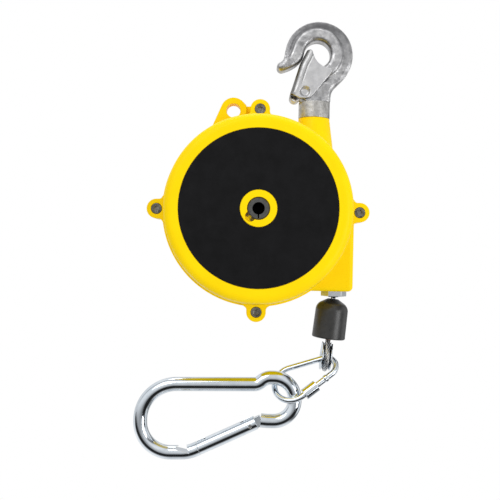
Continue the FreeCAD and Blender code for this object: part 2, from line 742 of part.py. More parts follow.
def cable_eye():
    low = buffer_bottom() + 1
    loop = rod(eye_edges(EYE_ROPE_R, low), ROPE_R)
    lead_in = cylinder(ROPE_R, from_pivot(BUFFER_DROP - 1), -Z, low - BUFFER_DROP + 1)
    return leaned(Part.makeCompound([loop, lead_in]))


def thimble():
    edges = eye_edges(THIMBLE_R + THIMBLE_T / 2, buffer_bottom() + 6)
    path = Part.Wire(edges)
    start = edges[0].valueAt(edges[0].FirstParameter)
    along = edges[0].tangentAt(edges[0].FirstParameter)
    outward = along.cross(X)
    if outward.y > 0:
        outward = outward * -1

    def place(u, w):
        return start + X * u + outward * w
    half = THIMBLE_W / 2
    t = THIMBLE_T
    rim = THIMBLE_FLANGE
    corners = [(-half, rim, 0), (-half + 0.9, rim, 0), (-half + 2.0, t / 2, 0), (half - 2.0, t / 2, 0),
               (half - 0.9, rim, 0), (half, rim, 0), (half - 1.4, -t / 2, 0), (-half + 1.4, -t / 2, 0)]
    section = Part.Wire(rounded_edges(corners, place))
    return leaned(path.makePipeShell([section], True, False))


# ---- screw-lock link ----

def link_frame():
    """Its centre at the narrow end, the direction to the wide end, and the direction to its gate side."""
    lean = math.radians(LINK_LEAN)
    twist = math.radians(LINK_TWIST)
    along = V(-math.cos(lean), 0, -math.sin(lean))
    down = V(math.sin(lean), 0, -math.cos(lean))
    gate_side = down * math.cos(twist) - Y * math.sin(twist)
    return V(LINK_X, LINK_Y, LINK_Z), along, gate_side


def link_place():
    base, along, side = link_frame()

    def place(u, w):
        return base + along * u + side * w
    return place


def link_flank():
    """Angle of the straight sides to the length of the link, from the two end radii."""
    return math.asin((LINK_WIDE_R - LINK_NARROW_R) / LINK_CENTRES)


def link_touch(radius, centre, side):
    """Where a straight side meets an end arc, in the link's own plane."""
    flank = link_flank()
    return centre - radius * math.sin(flank), side * radius * math.cos(flank)


def gate_line(share):
    """A point on the gate's centre line, from 0 at the narrow end to 1 at the wide end."""
    a = link_touch(LINK_NARROW_R, 0, 1)
    b = link_touch(LINK_WIDE_R, LINK_CENTRES, 1)
    return a[0] + (b[0] - a[0]) * share, a[1] + (b[1] - a[1]) * share


def link_body():
    place = link_place()
    a = place(*link_touch(LINK_NARROW_R, 0, 1))
    b = place(*link_touch(LINK_NARROW_R, 0, -1))
    c = place(*link_touch(LINK_WIDE_R, LINK_CENTRES, -1))
    d = place(*link_touch(LINK_WIDE_R, LINK_CENTRES, 1))
    edges = [Part.makeLine(place(*gate_line(LINK_HINGE_SHARE)), a),
             Part.Arc(a, place(-LINK_NARROW_R, 0), b).toShape(),
             Part.makeLine(b, c),
             Part.Arc(c, place(LINK_CENTRES + LINK_WIDE_R, 0), d).toShape(),
             Part.makeLine(d, place(*gate_line(LINK_NOSE_SHARE)))]
    return rod(edges, LINK_ROD_R)


def link_gate():
    """The screwed bar of the gate, with a wider head where it turns on the link's cross pin."""
    place = link_place()
    start = place(*gate_line(LINK_HINGE_SHARE))
    end = place(*gate_line(LINK_NOSE_SHARE))
    direction = (end - start).normalize()
    bar = cylinder(LINK_ROD_R, start, direction, start.distanceToPoint(end))
    head = turned([(0, 0.4, 0), (LINK_HEAD_R - 0.5, 0.4, 0), (LINK_HEAD_R, 0.9, 0),
                   (LINK_HEAD_R, LINK_HEAD_L, 0),
                   (LINK_ROD_R, LINK_HEAD_L + 0.8, 0), (0, LINK_HEAD_L + 0.8, 0)], start, direction,
                  direction.cross(Y).normalize())
    return fuse_all([bar, head])


def link_sleeve():
    place = link_place()
    nose = place(*gate_line(LINK_NOSE_SHARE))
    direction = (nose - place(*gate_line(LINK_HINGE_SHARE))).normalize()
    start = nose + direction * 2.0
    body = cylinder(SLEEVE_R, start, -direction, SLEEVE_L)
    return body.cut(cylinder(LINK_ROD_R + RUNNING, start, -direction, SLEEVE_L))


# ---- carabiner ----

def carabiner_corners():
    """Centre line of the bar, from the gate's nose round the large end and back to the hinge."""
    from_hinge = [(-44.0, -20.7, 0), (-52.0, -24.5, 30), (-94.3, -25.3, 26), (-94.3, 33.4, 31), (6.0, 35.2, 8),
                  (13.0, 41.1, 12), (38.0, 41.1, 18.2), (38.0, 3.8, 18.2), (14.0, 3.8, 20), (9.0, 4.2, 0)]
    return [(GATE_HINGE.x + u, GATE_HINGE.z + w, radius) for u, w, radius in from_hinge]


def gate_direction():
    return (GATE_NOSE - GATE_HINGE).normalize()


def carabiner_body():
    def place(u, w):
        return V(u, CARABINER_Y, w)
    bar = rod(rounded_edges(carabiner_corners(), place, False), CARABINER_R)
    along = gate_direction()
    across = along.cross(Y)
    tongues = []
    for middle, behind, ahead in ((GATE_NOSE, 7.0, 2.0), (GATE_HINGE, 11.0, 4.5)):
        a = middle - along * behind
        b = middle + along * ahead
        wide = across * (TONGUE_W / 2)
        points = [a - wide, b - wide, b + wide, a + wide, a - wide]
        face = Part.Face(Part.makePolygon(points))
        face.translate(Y * (-TONGUE_T / 2))
        tongues.append(face.extrude(Y * TONGUE_T))
    shape = fuse_all([bar] + tongues)
    pin = cylinder(GATE_PIN_R + SEAT, GATE_HINGE - Y * 10, Y, 20)
    foot = GATE_NOSE + along * NOSE_L
    notch = [foot, foot - across * 9, foot + along * NOTCH_L - across * 9, foot]
    wedge = Part.Face(Part.makePolygon(notch))
    wedge.translate(Y * -10)
    return shape.cut(pin).cut(wedge.extrude(Y * 20))


def carabiner_gate():
    along = gate_direction()
    across = along.cross(Y)
    start = GATE_HINGE - along * 5.5
    end = GATE_NOSE - along * 0.4
    body = cylinder(CARABINER_R, start, along, start.distanceToPoint(end))
    half = GATE_SLOT / 2

    def slot(base, length):
        points = [base - across * 8, base + along * length - across * 8, base + along * length + across * 8,
                  base + across * 8, base - across * 8]
        face = Part.Face(Part.makePolygon(points))
        face.translate(Y * -half)
        return face.extrude(Y * GATE_SLOT)
    body = body.cut(slot(start - along, 13.0))
    body = body.cut(slot(end - along * 9.0, 12.0))
    return body.cut(cylinder(GATE_PIN_R + RUNNING, GATE_HINGE - Y * 10, Y, 20))


def carabiner_pin():
    return cylinder(GATE_PIN_R, GATE_HINGE - Y * (CARABINER_R - 0.3), Y, 2 * (CARABINER_R - 0.3))


# ---- hook ----

def hook_point(centre_x, centre_z, radius, degrees):
    angle = math.radians(degrees)
    return V(centre_x + radius * math.cos(angle), 0, centre_z + radius * math.sin(angle))


def outer_point(degrees):
    return hook_point(HOOK_OUTER_X, HOOK_OUTER_Z, HOOK_OUTER_R, degrees)


def bowl_point(degrees):
    return hook_point(BOWL_X, BOWL_Z, BOWL_R, degrees)


def tip_point(degrees):
    return hook_point(TIP_X, TIP_Z, TIP_R, degrees)


def bezier(*points):
    curve = Part.BezierCurve()
    curve.setPoles(list(points))
    return curve.toShape()


def heading(degrees):
    """Direction of travel at this angle when going round a circle anticlockwise."""
    angle = math.radians(degrees)
    return V(-math.sin(angle), 0, math.cos(angle))


def hook_outline():
    """Up the shank, round the outside to the tip, back along the inside and down to the latch lug."""
    root = V(SHANK_RIGHT, 0, HOOK_ROOT_Z)
    flank = outer_point(-45) - heading(-45) * 7.2
    bend = flank - heading(-45) * ((flank.x - SHANK_RIGHT) / heading(-45).x)
    lug = V(LATCH_X, 0, LATCH_Z)
    lug_top = lug + V(LATCH_LUG_R * math.cos(math.radians(60)), 0, LATCH_LUG_R * math.sin(math.radians(60)))
    lug_left = lug - X * LATCH_LUG_R
    lug_low = lug - Z * LATCH_LUG_R
    return [Part.makeLine(root, V(SHANK_RIGHT, 0, 98.0)),
            bezier(V(SHANK_RIGHT, 0, 98.0), bend, flank),
            Part.makeLine(flank, outer_point(-45)),
            Part.Arc(outer_point(-45), outer_point(60), outer_point(162)).toShape(),
            bezier(outer_point(162), outer_point(162) + heading(162) * 8.4, tip_point(115) - heading(115) * 6,
                   tip_point(115)),
            Part.Arc(tip_point(115), tip_point(200), tip_point(285)).toShape(),
            bezier(tip_point(285), tip_point(285) + heading(285) * 7.1, bowl_point(172) + heading(172) * 10,
                   bowl_point(172)),
            Part.Arc(bowl_point(172), bowl_point(50), bowl_point(-70)).toShape(),
            bezier(bowl_point(-70), bowl_point(-70) - heading(-70) * 6.4, V(45.0, 0, 112.0), lug_top),
            Part.Arc(lug_top, lug + V(-4.0, 0, math.sqrt(LATCH_LUG_R ** 2 - 16)), lug_left).toShape(),
            Part.Arc(lug_left, lug + V(-4.384, 0, -4.384), lug_low).toShape(),
            Part.makeLine(lug_low, V(LATCH_X + 1.5, 0, HOOK_ROOT_Z)),
            Part.makeLine(V(LATCH_X + 1.5, 0, HOOK_ROOT_Z), root)]


def dimple(radius, bottom_radius, depth, side):
    """A cone pressed in from the face at depth side * half the thickness, pointing to the middle."""
    face_y = LINE_Y + side * (HOOK_T / 2 + GAP + LATCH_T)
    return turned([(0, 0, 0), (radius, 0, 0), (bottom_radius, depth, 0), (0, depth, 0)],
                  V(LATCH_X, face_y, LATCH_Z), Y * -side)


def hook_body():
    face = Part.Face(Part.Wire(hook_outline()))
    face.translate(Y * (LINE_Y - HOOK_T / 2))
    body = face.extrude(Y * HOOK_T)
    rounded = [e for e in body.Edges if e.BoundBox.YLength < 0.01 and e.Curve.TypeId == "Part::GeomCircle"
               and e.Curve.Radius > BOWL_R - 1]
    body = body.makeFillet(HOOK_ROUND, rounded)
    stem = cylinder(STEM_R, V(HOOK_X, LINE_Y, HOOK_ROOT_Z), -Z, HOOK_ROOT_Z - POCKET_TOP + WASHER_T + NUT_T)
    shape = body.fuse(stem)
    for side in (-1, 1):
        shape = shape.cut(dimple(DIMPLE_R + 1.6, DIMPLE_BOTTOM_R + 1.6, DIMPLE_T + LATCH_T + GAP, side))
    pin_z = POCKET_TOP - WASHER_T - NUT_T + SPLIT_PIN_UP
    return shape.cut(cylinder(SPLIT_PIN_R + SEAT, V(HOOK_X - 15, LINE_Y, pin_z), X, 30))


def latch():
    """A sheet folded round the shank, with a curled thumb edge and two dimples that it turns on."""
    left_low = (25.3, 101.0)
    left_mid = (33.3, 127.0)
    corners = [left_low + (1.0,), left_mid + (20,), (39.2, 138.8, 1.0), (43.2, 138.8, 1.8), (47.2, 126.5, 14),
               (61.2, 122.6, 1.5), (59.8, 118.8, 2), (42.5, 97.6, 5), (33.8, 97.0, 4)]
    half = HOOK_T / 2 + GAP + LATCH_T
    shape = plate(corners, LINE_Y - half, LINE_Y + half)
    room = plate([(left_low[0] + LATCH_T, left_low[1] - 12, 0), (left_low[0] + LATCH_T, left_low[1], 20),
                  (left_mid[0] + LATCH_T, left_mid[1], 20), (left_mid[0] + 8, 145, 0), (80, 145, 0),
                  (80, 89, 0)],
                 LINE_Y - half + LATCH_T, LINE_Y + half - LATCH_T)
    shape = shape.cut(room)
    for side in (-1, 1):
        cup = dimple(DIMPLE_R + LATCH_T * 0.7, DIMPLE_BOTTOM_R + LATCH_T * 0.7, DIMPLE_T + LATCH_T, side)
        shape = shape.fuse(cup)
    for side in (-1, 1):
        shape = shape.cut(dimple(DIMPLE_R, DIMPLE_BOTTOM_R, DIMPLE_T, side))
    curl_centre = V(29.4, LINE_Y - CURL_W / 2, 98.6)
    curl = ring(CURL_R, CURL_R - LATCH_T, curl_centre, Y, CURL_W)
    mouth = block(curl_centre.x + 1, curl_centre.x + 6, LINE_Y - 7, LINE_Y + 7,
                  curl_centre.z - 1, curl_centre.z + 6)
    curl = curl.cut(mouth)
    return fuse_all([shape, curl])


def swivel_collar():
    return ring(BOSS_R, STEM_R + SEAT, V(HOOK_X, LINE_Y, BOSS_TOP), Z, COLLAR_T)


def thrust_washer():
    return ring(POCKET_R - 0.4, STEM_R + SEAT, V(HOOK_X, LINE_Y, POCKET_TOP - WASHER_T), Z, WASHER_T)


def castle_nut():
    top = POCKET_TOP - WASHER_T
    body = hexagon(NUT_AF, V(HOOK_X, LINE_Y, top), -Z, NUT_T, 30)
    body = body.cut(cylinder(STEM_R + SEAT, V(HOOK_X, LINE_Y, top), -Z, NUT_T))
    slot = block(-NUT_AF, NUT_AF, -NUT_SLOT_W / 2, NUT_SLOT_W / 2, -NUT_T - 1, -NUT_T + NUT_SLOT_T)
    for i in range(3):
        cut = turned_by(slot, 60 * i, ORIGIN, Z)
        cut.translate(V(HOOK_X, LINE_Y, top))
        body = body.cut(cut)
    return body


def split_pin():
    pin_z = POCKET_TOP - WASHER_T - NUT_T + SPLIT_PIN_UP
    return cylinder(SPLIT_PIN_R, V(HOOK_X - NUT_AF / 2 - 1, LINE_Y, pin_z), X, NUT_AF + 2)


NODES = {
    "front_cover": front_cover,
    "rear_housing": rear_housing,
    "label_disc": label_disc,
    "cover_screws": cover_screws,
    "cable_guide_bush": cable_guide_bush,
    "arbor": arbor,
    "arbor_circlip": arbor_circlip,
    "drum": drum,
    "drum_bearings": drum_bearings,
    "spring_cover": spring_cover,
    "spring_cover_screws": spring_cover_screws,
    "power_spring": power_spring,
    "cable_windings": cable_windings,
    "cable_run": cable_run,
    "worm_wheel": worm_wheel,
    "worm": worm,
    "buffer": buffer,
    "ferrule": ferrule,
    "cable_eye": cable_eye,
    "thimble": thimble,
    "link_body": link_body,
    "link_gate": link_gate,
    "link_sleeve": link_sleeve,
    "carabiner_body": carabiner_body,
    "carabiner_gate": carabiner_gate,
    "carabiner_pin": carabiner_pin,
    "hook_body": hook_body,
    "hook_latch": latch,
    "swivel_collar": swivel_collar,
    "thrust_washer": thrust_washer,
    "castle_nut": castle_nut,
    "split_pin": split_pin,
}


def main():
    os.makedirs("parts", exist_ok=True)
    for name, build in NODES.items():
        shape = build()
        shape.translate(HOOK_SEAT * -1)
        shape.exportStep("parts/" + name + ".step")


main()
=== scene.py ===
import json
import math

import bmesh
import bpy
import numpy as np
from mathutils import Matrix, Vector, noise


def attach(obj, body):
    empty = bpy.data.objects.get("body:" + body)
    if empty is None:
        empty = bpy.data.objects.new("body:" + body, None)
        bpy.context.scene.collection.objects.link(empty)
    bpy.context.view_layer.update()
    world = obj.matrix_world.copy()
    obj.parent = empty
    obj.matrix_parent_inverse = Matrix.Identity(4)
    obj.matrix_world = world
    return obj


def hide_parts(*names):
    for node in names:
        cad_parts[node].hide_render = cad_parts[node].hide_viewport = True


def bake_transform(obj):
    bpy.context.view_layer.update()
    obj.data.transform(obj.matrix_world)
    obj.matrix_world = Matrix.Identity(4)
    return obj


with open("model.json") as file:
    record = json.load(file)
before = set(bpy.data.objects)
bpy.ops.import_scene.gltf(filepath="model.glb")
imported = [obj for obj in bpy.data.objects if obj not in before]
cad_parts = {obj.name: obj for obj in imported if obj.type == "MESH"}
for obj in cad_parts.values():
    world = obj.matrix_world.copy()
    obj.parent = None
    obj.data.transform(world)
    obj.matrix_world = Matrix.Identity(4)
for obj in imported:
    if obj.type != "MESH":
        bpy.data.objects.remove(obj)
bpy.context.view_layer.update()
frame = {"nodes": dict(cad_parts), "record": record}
nodes = frame["nodes"]

MM = 0.001
SHARP_EDGE = 32          # degrees between faces

# Sizes and places below are in millimetres, in the frame of the parts.

# Middle of the drum, and the bore of its arbor, inside which the arbor's colour is painted shade
DRUM_X = -46.7
DRUM_Z = -147.0
ARBOR_BORE_R = 4.8
BORE_FADE = 0.3

# Wire rope; drops are measured from the mouth of the bush, along the tilted cable
BUSH_MOUTH = Vector((20.1, 0.0, -218.3))
CABLE_TOP_Z = -147.1
CABLE_TILT = 6.0         # degrees
ROPE_R = 2.0
STRAND_SHARE = 0.335     # a strand's radius as a share of the rope's
STRAND_COUNT = 6         # round one more in the middle
STRAND_SIDES = 8
ROPE_LAY = 24.0          # length of one turn of the strands
RUN_STEPS = 48
LEAD_TOP = 0.9
LEAD_END = 30.0
LEAD_STEPS = 20
LEG_TOP_Y = 2.1          # the eye's two legs lie side by side in the ferrule
FERRULE_END = 37.5
EYE_DROP = 53.0
EYE_R = 10.55
EYE_LEAN = 34.70         # degrees, each leg to the cable
LEG_STEPS = 8
EYE_STEPS = 32

# Hook: a thick roll runs round the bowl to the tip, and the web outside it is sunk
BOWL = Vector((1.5, 0.0, -11.2))
TIP = (-29.1, -22.4)     # x and z
HOOK_TOP_Z = 17.8
HOOK_ROOT_Z = -52.5
ROLL_LINE_R = 16.0       # middle of the roll round the bowl
ROLL_HALF = 4.2
ROLL_SLOPE = 2.2         # width of the slope from the roll down to the web
ROLL_END = -50.0         # degrees round the bowl, where the roll runs out
ROLL_NARROWS = 0.12      # for each degree past that
ROLL_LEAVES_UP = 2.0     # above the middle of the bowl, where it turns off to the tip
ROLL_BEND = (-4.0, -9.5)  # from there to its bend
WEB_LOW_Z = -38.0        # the web starts between these heights
WEB_FULL_Z = -30.0
WEB_DEPTH = 2.2
FLAT_FROM = 4.0          # from the middle plane out to the flat faces
FLAT_FULL = 7.6
HOOK_VOXEL = 0.8
SKIN_DEPTH = 0.15

# Latch: distances from its folded edge, given as x and z from the curl up
LATCH_EDGE = [(-21.4, -46.0), (-13.4, -20.0), (-7.5, -8.2)]
LATCH_HALF = 9.6         # half its width
LATCH_BEND = 5.0         # radius of the fold
FOLD_CORE = 2.0          # this near to the middle plane nothing is moved
CURL_Z = (-46.0, -43.0)  # the fold ends above the curl
CREASE_PLACE = 6.4
CREASE_W = 0.8
CREASE_DEPTH = 0.3
CREASE_Z = (-42.0, -30.0)    # it fades in between these heights
OUTER_SKIN = (8.7, 9.4)      # from the middle plane, so that only the outside is creased
LATCH_VOXEL = 0.35


# ---- small helpers for shader nodes ----

class Shader:
    """A material's node tree, with one method for each kind of node that is used here."""

    def __init__(self, name):
        self.material = bpy.data.materials.new(name)
        self.material.use_nodes = True
        self.tree = self.material.node_tree
        self.surface = self.tree.nodes["Principled BSDF"]
        self.place = self.tree.nodes.new("ShaderNodeTexCoord").outputs["Object"]

    def link(self, source, target):
        self.tree.links.new(source, target)

    def add(self, kind, **sockets):
        node = self.tree.nodes.new(kind)
        for name, value in sockets.items():
            self.feed(node.inputs[name.replace("_", " ")], value)
        return node

    def feed(self, socket, value):
        if isinstance(value, bpy.types.NodeSocket):
            self.link(value, socket)
        else:
            socket.default_value = value

    def stretched(self, scale, turn=(0, 0, 0)):
        """Object coordinates in millimetres times scale, one number for each axis."""
        mapping = self.add("ShaderNodeMapping", Vector=self.place)
        mapping.inputs["Scale"].default_value = [1000 * s for s in scale]
        mapping.inputs["Rotation"].default_value = turn
        return mapping.outputs["Vector"]

    def noise(self, size, detail=4.0, rough=0.55, scale=(1, 1, 1)):
        """Noise whose patches are about size millimetres wide."""
        node = self.add("ShaderNodeTexNoise", Vector=self.stretched(scale), Scale=1.0 / size,
                        Detail=detail, Roughness=rough)
        return node.outputs["Fac"]

    def ramp(self, value, low, high, colors):
        """Colours spread evenly from low to high of a value between 0 and 1."""
        node = self.tree.nodes.new("ShaderNodeValToRGB")
        self.link(value, node.inputs["Fac"])
        points = node.color_ramp.elements
        while len(points) < len(colors):
            points.new(0.5)
        for i, color in enumerate(colors):
            points[i].position = low + (high - low) * i / (len(colors) - 1)
            points[i].color = (*color, 1)
        return node.outputs["Color"]

    def span(self, value, low, high, out_low, out_high):
        node = self.add("ShaderNodeMapRange", Value=value)
        limits = {"From Min": low, "From Max": high, "To Min": out_low, "To Max": out_high}
        for name, number in limits.items():
            node.inputs[name].default_value = number
        return node.outputs["Result"]

    def mix(self, factor, first, second):
        node = self.tree.nodes.new("ShaderNodeMix")
        node.data_type = "RGBA"
        self.feed(node.inputs["Factor"], factor)
        for socket, value in ((node.inputs[6], first), (node.inputs[7], second)):
            self.feed(socket, value if isinstance(value, bpy.types.NodeSocket) else (*value, 1))
        return node.outputs[2]

    def math(self, operation, first, second=0.0):
        node = self.tree.nodes.new("ShaderNodeMath")
        node.operation = operation
        self.feed(node.inputs[0], first)
        self.feed(node.inputs[1], second)
        return node.outputs["Value"]

    def off_axis(self, x, z):
        """Distance in millimetres from a line along Y, in the object's own frame."""
        split = self.add("ShaderNodeSeparateXYZ", Vector=self.place)
        along = self.math("SUBTRACT", split.outputs["X"], x * MM)
        up = self.math("SUBTRACT", split.outputs["Z"], z * MM)
        squares = self.math("ADD", self.math("POWER", along, 2.0), self.math("POWER", up, 2.0))
        return self.math("MULTIPLY", self.math("SQRT", squares), 1000.0)

    def attribute(self, name):
        """A number stored at each vertex of the mesh."""
        node = self.tree.nodes.new("ShaderNodeAttribute")
        node.attribute_name = name
        return node.outputs["Fac"]

    def worn_edges(self, radius):
        """1 on sharp edges, falling to 0 within about radius millimetres of them."""
        bevel = self.tree.nodes.new("ShaderNodeBevel")
        bevel.samples = 4
        bevel.inputs["Radius"].default_value = radius * MM
        flat = self.tree.nodes.new("ShaderNodeNewGeometry").outputs["Normal"]
        node = self.tree.nodes.new("ShaderNodeVectorMath")
        node.operation = "DOT_PRODUCT"
        self.link(bevel.outputs["Normal"], node.inputs[0])
        self.link(flat, node.inputs[1])
        return self.span(node.outputs["Value"], 0.98, 0.8, 0.0, 1.0)

    def bump(self, height, depth, rounded=0.0):
        """Bump of this depth in millimetres; rounded softens sharp edges by that radius."""
        node = self.add("ShaderNodeBump", Height=height, Strength=1.0, Distance=depth * MM)
        if rounded:
            bevel = self.tree.nodes.new("ShaderNodeBevel")
            bevel.samples = 6
            bevel.inputs["Radius"].default_value = rounded * MM
            self.link(bevel.outputs["Normal"], node.inputs["Normal"])
        self.link(node.outputs["Normal"], self.surface.inputs["Normal"])

    def finish(self, color, metallic, roughness, **others):
        surface = self.surface.inputs
        self.feed(surface["Base Color"], color if isinstance(color, bpy.types.NodeSocket) else (*color, 1))
        self.feed(surface["Metallic"], metallic)
        self.feed(surface["Roughness"], roughness)
        for name, value in others.items():
            self.feed(surface[name.replace("_", " ")], value)
        return self.material


# ---- materials ----

def enamel():
    """Thick yellow enamel with a little orange peel and dust."""
    s = Shader("yellow_enamel")
    patches = s.noise(28, 3)
    color = s.ramp(patches, 0.3, 0.7, [(0.95, 0.655, 0.0005), (0.99, 0.705, 0.001)])
    dust = s.noise(1.6, 6, 0.7)
    color = s.mix(s.span(dust, 0.64, 0.82, 0.0, 0.3), color, (0.5, 0.29, 0.01))
    peel = s.noise(2.4, 2)
    grain = s.noise(0.7, 3)
    height = s.math("ADD", peel, s.math("MULTIPLY", grain, 0.35))
    s.bump(height, 0.09, rounded=0.8)
    rough = s.span(s.noise(9, 4), 0.3, 0.7, 0.30, 0.42)
    return s.finish(color, 0.0, rough, Specular_IOR_Level=0.08)


def black_plate():
    """Matt black lacquer on the ring plate, with fine specks."""
    s = Shader("black_label")
    color = s.ramp(s.noise(14, 6, 0.7), 0.35, 0.75, [(0.004, 0.004, 0.0045), (0.008, 0.008, 0.009)])
    specks = s.noise(0.9, 2)
    color = s.mix(s.span(specks, 0.74, 0.82, 0.0, 0.2), color, (0.06, 0.06, 0.06))
    s.bump(s.noise(0.8, 4), 0.012)
    rough = s.span(s.noise(18, 5), 0.3, 0.7, 0.5, 0.62)
    return s.finish(color, 0.0, rough, Specular_IOR_Level=0.12)


def plated(name, light, dark, rough, texture=0.02, size=1.2, rounded=0.4):
    """Plated steel: mottled, a little brushed, and brighter on its edges."""
    s = Shader(name)
    color = s.ramp(s.noise(size * 4, 6, 0.65), 0.3, 0.72, [dark, light])
    color = s.mix(s.worn_edges(0.6), color, [min(1.0, c * 1.25) for c in light])
    s.bump(s.noise(size, 5, 0.6), texture, rounded)
    return s.finish(color, 1.0, s.span(s.noise(size * 3, 4), 0.3, 0.7, rough * 0.75, rough * 1.3))


def latch_sheet():
    """Plated sheet with painted shade in its fold and along the crease; it reads the mesh's "fold"
    attribute.
    """
    s = Shader("latch_zinc")
    color = s.ramp(s.noise(7.2, 6, 0.65), 0.3, 0.72, [(0.53, 0.53, 0.54), (0.72, 0.72, 0.73)])
    # Painted shade: the fold and the crease are darkened
    color = s.mix(s.math("MULTIPLY", s.attribute("fold"), 0.85), color, (0.13, 0.13, 0.125))
    s.bump(s.noise(1.8, 5, 0.6), 0.02, 0.8)
    return s.finish(color, 1.0, s.span(s.noise(5.4, 4), 0.3, 0.7, 0.27, 0.47))


def forged():
    """Plated rough forging: pitted, with grey bloom, a few rust spots, and painted shade in its sunk web
    that is darkest near the top; it reads the mesh's "sunk" attribute."""
    s = Shader("hook_steel")
    bloom = s.noise(7, 7, 0.68)
    color = s.ramp(bloom, 0.32, 0.70, [(0.24, 0.24, 0.245), (0.46, 0.46, 0.47), (0.72, 0.72, 0.72)])
    spots = s.noise(2.2, 5, 0.7)
    color = s.mix(s.span(spots, 0.64, 0.76, 0.0, 0.7), color, (0.12, 0.085, 0.06))
    # Painted shade: the sunk web is darkened, most near the top of the hook
    shade_toward_top = s.span(s.off_axis(-10.0, 15.0), 24.0, 44.0, 0.8, 0.08)
    web_shade = s.math("MULTIPLY", s.attribute("sunk"), shade_toward_top)
    color = s.mix(web_shade, color, (0.09, 0.09, 0.095))
    color = s.mix(s.worn_edges(1.2), color, (0.80, 0.80, 0.80))
    pits = s.noise(1.5, 6, 0.65)
    waves = s.noise(6, 3)
    s.bump(s.math("ADD", pits, s.math("MULTIPLY", waves, 1.2)), 0.16, rounded=1.6)
    return s.finish(color, 0.95, s.span(bloom, 0.3, 0.7, 0.44, 0.28))


def rubber():
    """Moulded black rubber with faint rings along it."""
    s = Shader("black_rubber")
    color = s.ramp(s.noise(5, 6, 0.7), 0.3, 0.7, [(0.015, 0.015, 0.0155), (0.03, 0.03, 0.0305)])
    rings = s.add("ShaderNodeTexWave", Vector=s.stretched((0, 0, 1)), Scale=0.6, Distortion=0.3)
    height = s.math("ADD", s.noise(0.6, 4), s.math("MULTIPLY", rings.outputs["Fac"], 0.2))
    s.bump(height, 0.03, rounded=0.5)
    return s.finish(color, 0.0, s.span(s.noise(3, 4), 0.3, 0.7, 0.26, 0.4), Specular_IOR_Level=0.55)


def turned_metal(name, light, dark, rough, axis):
    """Machined metal with fine rings round an axis."""
    s = Shader(name)
    scale = [1, 1, 1]
    scale[axis] = 14
    lines = s.noise(1.0, 3, 0.6, scale)
    color = s.ramp(s.noise(6, 5, 0.6), 0.3, 0.7, [dark, light])
    color = s.mix(s.span(lines, 0.45, 0.62, 0.0, 0.3), color, dark)
    s.bump(lines, 0.012, rounded=0.3)
    return s.finish(color, 1.0, s.span(lines, 0.3, 0.7, rough * 0.8, rough * 1.3))


def arbor_steel():
    """Dark turned steel, with painted shade down the bore that makes it nearly black there."""
    s = Shader("arbor_steel")
    from_axis = s.off_axis(DRUM_X, DRUM_Z)
    rings = s.tree.nodes.new("ShaderNodeTexNoise")
    rings.noise_dimensions = "1D"
    s.feed(rings.inputs["W"], s.math("MULTIPLY", from_axis, 2.2))
    color = s.ramp(s.noise(3, 5, 0.6), 0.3, 0.7, [(0.07, 0.07, 0.068), (0.13, 0.13, 0.125)])
    color = s.mix(s.span(rings.outputs["Fac"], 0.45, 0.65, 0.0, 0.35), color, (0.2, 0.2, 0.19))
    # Painted shade: nearly black inside the bore
    bore_shade = s.span(from_axis, ARBOR_BORE_R, ARBOR_BORE_R + BORE_FADE, 1.0, 0.0)
    color = s.mix(bore_shade, color, (0.0015, 0.0015, 0.002))
    s.bump(s.noise(0.7, 4), 0.01, rounded=0.3)
    return s.finish(color, 0.85, 0.42)


def rope_wire():
    """Galvanised strands, with fine wires that show as streaks along them."""
    s = Shader("wire_rope")
    wires = s.noise(0.5, 4, 0.6, (1, 1, 0.3))
    color = s.ramp(wires, 0.35, 0.65, [(0.28, 0.285, 0.29), (0.74, 0.76, 0.78)])
    color = s.mix(s.span(s.noise(5, 3), 0.5, 0.7, 0.0, 0.4), color, (0.3, 0.28, 0.24))
    s.bump(wires, 0.02)
    return s.finish(color, 1.0, s.span(wires, 0.3, 0.7, 0.42, 0.26))


def spring_strip():
    """Blued spring steel."""
    s = Shader("spring_steel")
    color = s.ramp(s.noise(9, 5), 0.3, 0.7, [(0.08, 0.09, 0.13), (0.2, 0.21, 0.26)])
    s.bump(s.noise(0.8, 3), 0.01)
    return s.finish(color, 1.0, s.span(s.noise(4, 3), 0.3, 0.7, 0.25, 0.4))


FINISHES = {
    "yellow_enamel": enamel(),
    "black_label": black_plate(),
    "zinc_screw": plated("zinc_screw", (0.36, 0.34, 0.29), (0.05, 0.045, 0.04), 0.26, 0.03, 0.7),
    "bright_steel": plated("bright_steel", (0.78, 0.83, 0.88), (0.60, 0.66, 0.72), 0.09, 0.006, 2.4),
    "turned_steel": turned_metal("turned_steel", (0.55, 0.55, 0.54), (0.3, 0.3, 0.3), 0.32, 1),
    "black_rubber": rubber(),
    "wire_rope": rope_wire(),
    "copper_ferrule": plated("copper_ferrule", (0.75, 0.45, 0.3), (0.5, 0.27, 0.16), 0.3),
    "drum_aluminium": turned_metal("drum_aluminium", (0.74, 0.74, 0.75), (0.55, 0.55, 0.56), 0.3, 1),
    "spring_steel": spring_strip(),
    "bronze": turned_metal("bronze", (0.55, 0.36, 0.16), (0.35, 0.22, 0.09), 0.35, 1),
    "hook_steel": forged(),
}

# Pieces whose look differs from the rest of their slot
OWN_FINISHES = {
    "arbor": arbor_steel(),
    "cable_guide_bush": plated("bush_zinc", (0.72, 0.75, 0.76), (0.5, 0.53, 0.55), 0.2, 0.015, 1.5, 0.4),
    "arbor_circlip": plated("clip_steel", (0.16, 0.12, 0.06), (0.06, 0.05, 0.035), 0.35, 0.01, 0.6),
    "hook_latch": latch_sheet(),
    "swivel_collar": plated("collar_cast", (0.64, 0.63, 0.61), (0.30, 0.295, 0.28), 0.4, 0.14, 1.1, 0.8),
}

for entry in frame["record"]["subparts"]:
    node = nodes[entry["node"]]
    node.data.materials.clear()
    node.data.materials.append(OWN_FINISHES.get(entry["node"], FINISHES[entry["material_slot"]]))

